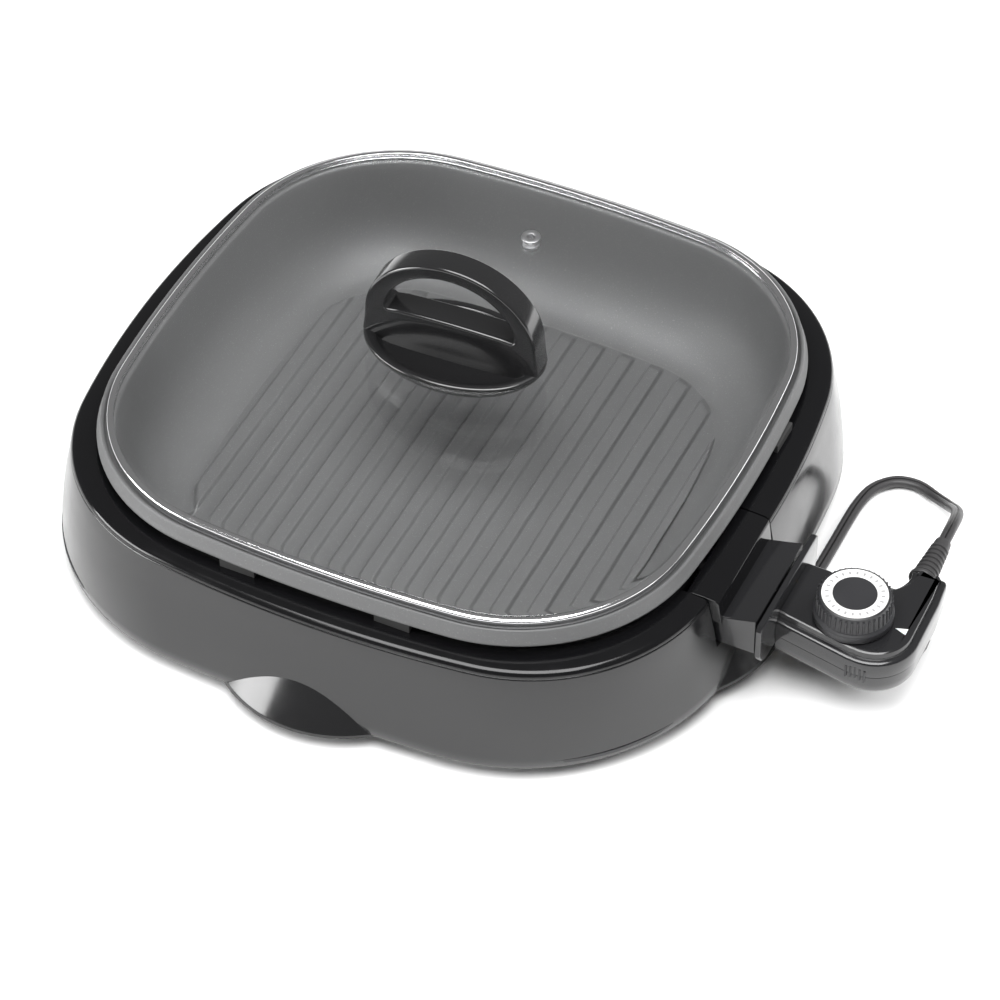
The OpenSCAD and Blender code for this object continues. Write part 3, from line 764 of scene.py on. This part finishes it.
def flat_solid(name, loops, depth, bevel, steps=3):
    """A plate in XY round z = 0, cut from flat outlines and depth thick in all, with rounded edges."""
    data = bpy.data.curves.new(name, "CURVE")
    data.dimensions = "2D"
    data.fill_mode = "BOTH"
    data.extrude = (depth / 2 - bevel) * MM
    data.bevel_depth = bevel * MM
    data.offset = -bevel * MM
    data.bevel_resolution = steps
    for loop in loops:
        line = data.splines.new("POLY")
        line.points.add(len(loop) - 1)
        for point, (x, y) in zip(line.points, loop):
            point.co = (x * MM, y * MM, 0, 1)
        line.use_cyclic_u = True
    shape = bpy.data.objects.new(name, data)
    bpy.context.collection.objects.link(shape)
    mesh = finished_mesh(shape)
    bpy.data.objects.remove(shape)
    bpy.data.curves.remove(data)
    return soften(fix_normals(mesh), 35)


def arc(cx, cy, rx, ry, start, stop, steps):
    """Points on an oval round (cx, cy), between two angles in degrees."""
    turns = [math.radians(start + (stop - start) * k / steps) for k in range(steps + 1)]
    return [(cx + rx * math.cos(a), cy + ry * math.sin(a)) for a in turns]


def handle():
    """The oval foot like a shallow bowl, and the loop that stands across it."""
    bowl = [(36, 23.0, 88.0), (39, 25.0, 89.6), (42, 26.8, 92), (44.6, 28.6, 95), (45.9, 29.3, 97.4),
            (46.0, 29.4, 98.4), (45.6, 29.0, 99.0), (44.6, 28.2, 99.3), (42.4, 26.4, 99.2),
            (40.6, 25.0, 98.8), (39.6, 24.2, 97.8), (38.6, 23.4, 96.4), (36.6, 21.8, 95.2),
            (33, 19.2, 94.5), (26, 14.8, 94.0), (18, 10.2, 93.8), (9, 5.0, 93.7), (2, 1.2, 93.7)]
    mesh = loft("handle_foot", [oval_row(*row) for row in bowl], capped=True)
    fix_normals(mesh)
    mesh.transform(HANDLE_TURN)
    foot = keep("handle_bowl", mesh)
    settle(paint(foot, HANDLE_BLACK), "lid", "handle_plastic", "handle_base")

    side = [(44.2, 108), (44.8, 103), (45.3, 99.6), (45.0, 97.6), (42, 95.4), (36, 93.4), (26, 92.2)]
    outer = arc(0, 112, 43.9, 39.5, 0, 180, 48) + [(-x, y) for x, y in side] + side[::-1]
    inner = arc(0, 115, 33.4, 28.9, 4, 176, 44) + [(-32, 116.0), (-26, 116.9), (-12, 117.4), (0, 117.6),
                                                   (12, 117.4), (26, 116.9), (32, 116.0)]
    mesh = flat_solid("handle_ring", [outer, inner], 14.4, 1.5, 4)
    mesh.transform(HANDLE_TURN @ Matrix.Rotation(math.radians(90), 4, "X"))
    loop = keep("handle_ring", mesh)
    return settle(paint(loop, HANDLE_BLACK), "lid", "handle_plastic", "handle_grip")


def small_lathe(name, profile, centre, n=48, axis=None):
    """A turned piece: (radius, height) rows round a centre, along Z or turned to another axis."""
    rows = [[(r * math.cos(2 * math.pi * k / n), r * math.sin(2 * math.pi * k / n), z) for k in range(n)]
            for r, z in profile]
    mesh = fix_normals(loft(name, rows, closed=True))
    if axis is not None:
        mesh.transform(Matrix.Rotation(math.radians(90), 4, axis))
    mesh.transform(Matrix.Translation(Vector(centre) * MM))
    return soften(mesh, 40)


def vent():
    """The eyelet of the steam hole, behind the handle."""
    place = HANDLE_TURN @ Vector((0, 96, 0))
    profile = [(1.8, 81), (1.8, 87.6), (2.1, 88.2), (2.6, 88.4), (4.2, 88.4), (4.8, 88.1), (5, 87.4),
               (4.6, 86.5), (2.9, 86.3), (2.9, 82.0), (4.2, 81.6), (4.2, 80.6), (2, 80.4)]
    piece = keep("vent_eyelet", small_lathe("vent_eyelet", profile, place))
    return settle(paint(piece, EYELET), "lid", "rim_steel", "vent_ring")


# ---------------------------------------------------------------- heat control


def case_loop(grow):
    """The outline of the case, seen from above."""
    front = [(191.2, -52.8 - grow), (229.4, -59.8 - grow)]
    nose = arc(234, -38, 22 + grow, 22 + grow, -100, 0, 24)
    arm = [(255.4 + grow, -10), (254.2 + grow, 2)]
    tip = arc(251.4, 3.4, 2.6 + grow, 2.6 + grow, 0, 90, 6) + [(240, 6 + grow), (236.4 - grow, 5.6 + grow)]
    back = arc(221, 2, 16 - grow, 16 - grow, 4, -66, 14) + [(222, -15.4 + grow), (214, -14.4 + grow)]
    end = [(208, -12.2 + grow), (202, -11.2 + grow), (191.2, -11 + grow)]
    return front + nose + arm + tip + back + end


def block(name, layers):
    """Skins the case outline through (inset, height) layers from the bottom up, and closes both ends."""
    rows = [[(x, y, z) for x, y in case_loop(-inset)] for inset, z in layers]
    mesh = fix_normals(loft(name, rows, capped=True))
    mesh.set_sharp_from_angle(angle=math.radians(38))
    return mesh


def control_case():
    """The two halves of the case."""
    under = [(3.4, 24), (2.2, 24.2), (1.2, 25), (0.6, 26.4), (0.3, 30), (0.3, 34.7)]
    upper = [(0.5, 34.9), (0.05, 35.3), (0, 36), (0, 42.6), (0.25, 43.4), (0.9, 44), (2.2, 44.2),
             (3.0, 44.4), (3.2, 44.9), (3.3, 46.6), (3.6, 47.5), (4.4, 48), (5.4, 48.05)]
    halves = (("case_lower", under, "case_bottom"), ("case_upper", upper, "case_top"))
    for name, layers, stands_for in halves:
        piece = keep(name, block(name, layers))
        settle(paint(piece, CASE_BLACK), "probe", "case_plastic", stands_for)


GUARD_X = 189.6
# Stands a flat plate up, so that it faces +X.
FACE_X = Matrix(((0, 0, 1, 0), (1, 0, 0, 0), (0, 1, 0, 0), (0, 0, 0, 1)))


def guard():
    """The upright plate between the case and the pan, with two rounded lower corners."""
    plate = [(-71.8, 38), (-71.8, 54.6), (-69.6, 56.8), (-4.6, 56.8), (-2.4, 54.6), (-2.4, 41)]
    plate += arc(-14, 41, 11.6, 11.8, 0, -90, 10) + arc(-60, 41, 11.8, 11.8, -90, -165, 8)
    mesh = flat_solid("guard", [plate], 3, 0.7)
    mesh.transform(Matrix.Translation((GUARD_X * MM, 0, 0)) @ FACE_X)
    piece = keep("guard", fix_normals(mesh))
    settle(paint(piece, CASE_BLACK), "probe", "case_plastic", "guard_plate")


def case_vents():
    """Five short ridges on the front of the case."""
    slots = [(229.2 + 2.3 * k, -59.75, 36.6 - 0.5 * abs(k - 2)) for k in range(5)]
    vents = ridges("case_vents", slots, (0.5, 0.6, 3.4), (234, 0, 36.6), SATIN_BLACK)
    settle(vents, "probe", "case_plastic")


BOOT_X, BOOT_Z = 241, 38
BOOT_RIBS, BOOT_STEP = 7, 3.1


def cord_boot():
    """The ribbed sleeve that the cord leaves the case through."""
    flange = [(3.2, 3), (4.9, 3), (4.9, 6), (6.6, 6.2), (7.0, 6.8), (7.0, 8.0), (6.4, 8.5)]
    ribs = []
    for i in range(BOOT_RIBS):
        y = 9 + BOOT_STEP * i
        r = 6.1 - 0.24 * i
        ribs += [(r - 0.7, y), (r, y + 0.4), (r, y + 1.7), (r - 0.7, y + 2.1)]
    tail = [(4.2, 32), (3.9, 34), (3.1, 34.2), (3.1, 20)]
    mesh = small_lathe("cord_boot", flange + ribs + tail, (0, 0, 0), 48)
    along_y = Matrix.Rotation(math.radians(-90), 4, "X")
    mesh.transform(Matrix.Translation((BOOT_X * MM, 0, BOOT_Z * MM)) @ along_y)
    piece = keep("cord_boot", mesh)
    settle(paint(piece, VINYL), "probe", "cord_vinyl", "strain_relief")


SOCKET_Y = -40  # the middle of the socket


def side_bar(name, profile, width, bevel):
    """A bar across the side of the pan, with a profile in X and Z and rounded ends."""
    mesh = flat_solid(name, [profile], width, bevel)
    mesh.transform(Matrix.Translation((0, SOCKET_Y * MM, 0)) @ Matrix.Rotation(math.radians(90), 4, "X"))
    return keep(name, fix_normals(mesh))


def socket():
    """The hood round the contact pins, the piece of ledge above it, and the tabs that carry it."""
    hood = side_bar("socket_hood", [(156, 35), (187, 35), (187, 57), (171, 52.5), (156, 52.5)], 56, 0.9)
    cut_out(hood, (166, -65.5, 37), (200, -14.5, 50))
    settle(paint(hood, CASE_BLACK), "pan", "socket_plastic", "socket_housing")
    profile = [(152.9, 57.2), (152.9, 63.4), (156, 63.9), (161, 63.8), (166.4, 63.3), (167.9, 62.8),
               (168.7, 62.0), (169.0, 61.2), (169.1, 60.2), (169.4, 58.4), (170.6, 50), (156, 50),
               (156, 57)]
    ledge = side_bar("socket_ledge", profile, 60, 0.3)
    settle(paint(ledge, GLOSS_BLACK), "pan", "socket_plastic")
    tab = [(0.01, 144.4), (4, 144.4), (4, 157), (0.01, 157)]
    for name, y in (("socket_tabs", SOCKET_Y - 22), ("socket_tab_back", SOCKET_Y + 22)):
        piece = keep(name, small_lathe(name, tab, (0, 0, 0), 32, "Y"))
        piece.data.transform(Matrix.Translation((0, y * MM, 46 * MM)))
        settle(paint(piece, CASE_BLACK), "pan", "socket_plastic")


def ridge_tree():
    """Geometry nodes: a small rounded ridge on every point, turned to face away from a centre."""
    tree = bpy.data.node_groups.new("ridges", "GeometryNodeTree")
    new = tree.interface.new_socket
    new("Points", in_out="INPUT", socket_type="NodeSocketGeometry")
    for label in ("Half Size", "Centre"):
        new(label, in_out="INPUT", socket_type="NodeSocketVector")
    new("Finish", in_out="INPUT", socket_type="NodeSocketMaterial")
    new("Ridges", in_out="OUTPUT", socket_type="NodeSocketGeometry")
    given, out = tree.nodes.new("NodeGroupInput"), tree.nodes.new("NodeGroupOutput")
    ridge = tree.nodes.new("GeometryNodeMeshCylinder")
    ridge.inputs["Vertices"].default_value = 14
    ridge.inputs["Radius"].default_value = 1.0
    ridge.inputs["Depth"].default_value = 2.0
    where = tree.nodes.new("GeometryNodeInputPosition")
    away = tree.nodes.new("ShaderNodeVectorMath")
    away.operation = "SUBTRACT"
    turn = tree.nodes.new("FunctionNodeAlignRotationToVector")
    turn.axis = "X"
    turn.pivot_axis = "Z"
    copies = tree.nodes.new("GeometryNodeInstanceOnPoints")
    solid = tree.nodes.new("GeometryNodeRealizeInstances")
    finish = tree.nodes.new("GeometryNodeSetMaterial")
    link = tree.links.new
    link(where.outputs["Position"], away.inputs[0])
    link(given.outputs["Centre"], away.inputs[1])
    link(away.outputs["Vector"], turn.inputs["Vector"])
    link(given.outputs["Points"], copies.inputs["Points"])
    link(ridge.outputs["Mesh"], copies.inputs["Instance"])
    link(turn.outputs["Rotation"], copies.inputs["Rotation"])
    link(given.outputs["Half Size"], copies.inputs["Scale"])
    link(copies.outputs["Instances"], solid.inputs["Geometry"])
    link(solid.outputs["Geometry"], finish.inputs["Geometry"])
    link(given.outputs["Finish"], finish.inputs["Material"])
    link(finish.outputs["Geometry"], out.inputs["Ridges"])
    return tree


RIDGES = ridge_tree()


def ridges(name, points, half_size, centre, material):
    """A piece made of the same small ridge on each point."""
    piece = keep(name, mesh_from(name, points, [], smooth=False))
    maker = piece.modifiers.new("ridges", "NODES")
    maker.node_group = RIDGES
    items = RIDGES.interface.items_tree
    sockets = {item.name: item.identifier for item in items if item.in_out == "INPUT"}
    maker[sockets["Half Size"]] = tuple(v * MM for v in half_size)
    maker[sockets["Centre"]] = tuple(v * MM for v in centre)
    maker[sockets["Finish"]] = material
    soften(apply_modifiers(piece), 50)
    return paint(piece, material)


def ring_points(cx, cy, radius, z, count):
    """Points spread evenly on a level circle."""
    turns = [2 * math.pi * k / count for k in range(count)]
    return [(cx + radius * math.cos(a), cy + radius * math.sin(a), z) for a in turns]


KNURLS, KNURL_RADIUS, KNURL_Z = 40, 17.3, 57.8


def dial():
    """The grip of the dial, and the knurling round it."""
    profile = [(3, 48.6), (18.6, 48.6), (19, 49.2), (19, 52.6), (18.4, 53.3), (17.9, 53.6),
               (17.6, 54.2), (17.2, 61.2), (16.7, 62.6), (15.9, 63), (15.7, 62.8), (15.6, 62.3),
               (3, 62.3)]
    piece = keep("dial_grip", small_lathe("dial_grip", profile, (DIAL_X, DIAL_Y, 0), 96))
    settle(paint(piece, SATIN_BLACK), "dial", "dial_plastic", "dial_knob")
    places = ring_points(DIAL_X, DIAL_Y, KNURL_RADIUS, KNURL_Z, KNURLS)
    knurl = ridges("dial_knurl", places, (0.75, 0.55, 3.6), (DIAL_X, DIAL_Y, KNURL_Z), SATIN_BLACK)
    settle(knurl, "dial", "dial_plastic")


# ---------------------------------------------------------------- finishes of the CAD parts that are shown

KEPT = {
    "bottom_cover": SATIN_BLACK, "heat_reflector": SHEET_STEEL, "rubber_feet": RUBBER,
    "foot_screws": SCREW_STEEL, "cover_screws": SCREW_STEEL, "pan_rest_pads": RUBBER,
    "heating_element": SHEATH, "terminal_pins": RIM_STEEL, "pin_insulators": CERAMIC,
    "socket_screws": SCREW_STEEL, "sensor_well": RIM_STEEL, "handle_gasket": RUBBER,
    "handle_screw": SCREW_STEEL, "sensor_rod": RIM_STEEL, "contact_sleeves": BRASS,
    "contact_block": CERAMIC, "switch_blades": BRASS, "case_screws": SCREW_STEEL, "dial_bushing": BRASS,
    "indicator_lens": LENS, "hank_tie": SATIN_BLACK, "plug_body": VINYL, "plug_blades": BRASS,
    "dial_ring": DIAL_PRINT, "dial_cap": SATIN_BLACK, "dial_shaft": SCREW_STEEL,
}
for name, material in KEPT.items():
    paint(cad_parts[name], material)

# ---------------------------------------------------------------- assembly

settle(paint(cord, VINYL), "probe", "cord_vinyl", "power_cord", "cord_hank")
base_shell()
finger_lips()
base_bezel()
pan()
lid_glass()
lid_rim()
handle()
vent()
control_case()
guard()
case_vents()
cord_boot()
socket()
dial()

# ---------------------------------------------------------------- light and floor


def softbox(name, place, aim, width, height, power):
    """A rectangular lamp that points at a spot. Sizes are in metres and the power in watts."""
    data = bpy.data.lights.new(name, "AREA")
    data.shape = "RECTANGLE"
    data.size, data.size_y, data.energy = width, height, power
    lamp = bpy.data.objects.new(name, data)
    bpy.context.collection.objects.link(lamp)
    lamp.location = place
    lamp.rotation_euler = (Vector(aim) - Vector(place)).to_track_quat("-Z", "Y").to_euler()
    return lamp


FLOOR_REACH, FLOOR_Z = 6000, -0.2
FLOOR_SIDES = ((-1, -1), (1, -1), (1, 1), (-1, 1))
FLOOR_CORNERS = [(FLOOR_REACH * x, FLOOR_REACH * y, FLOOR_Z) for x, y in FLOOR_SIDES]


def studio():
    """Soft light from the left, the right and above, over a pale paper floor."""
    world = bpy.data.worlds.new("studio")
    bpy.context.scene.world = world
    world.use_nodes = True
    world.node_tree.nodes["Background"].inputs["Color"].default_value = (1, 1, 1, 1)
    world.node_tree.nodes["Background"].inputs["Strength"].default_value = 0.2
    left_box = softbox("left_box", (-1.0, -0.8, 0.33), (0, -0.15, 0.03), 0.8, 0.4, 12)
    left_box.visible_transmission = False
    right_box = softbox("right_box", (0.95, 0.7, 0.6), (0.35, 0.1, 0), 0.9, 0.5, 18)
    right_box.visible_glossy = right_box.visible_transmission = False
    softbox("top_box", (0.15, -0.5, 1.7), (0, 0, 0.05), 1.5, 1.2, 47)
    floor = keep("floor", mesh_from("floor", FLOOR_CORNERS, [(0, 1, 2, 3)]))
    paint(floor, moulded("floor_paper", (0.93, 0.93, 0.93), 0.7, 0.8, bump=0.0))
    bpy.context.scene.view_settings.view_transform = "Standard"


studio()
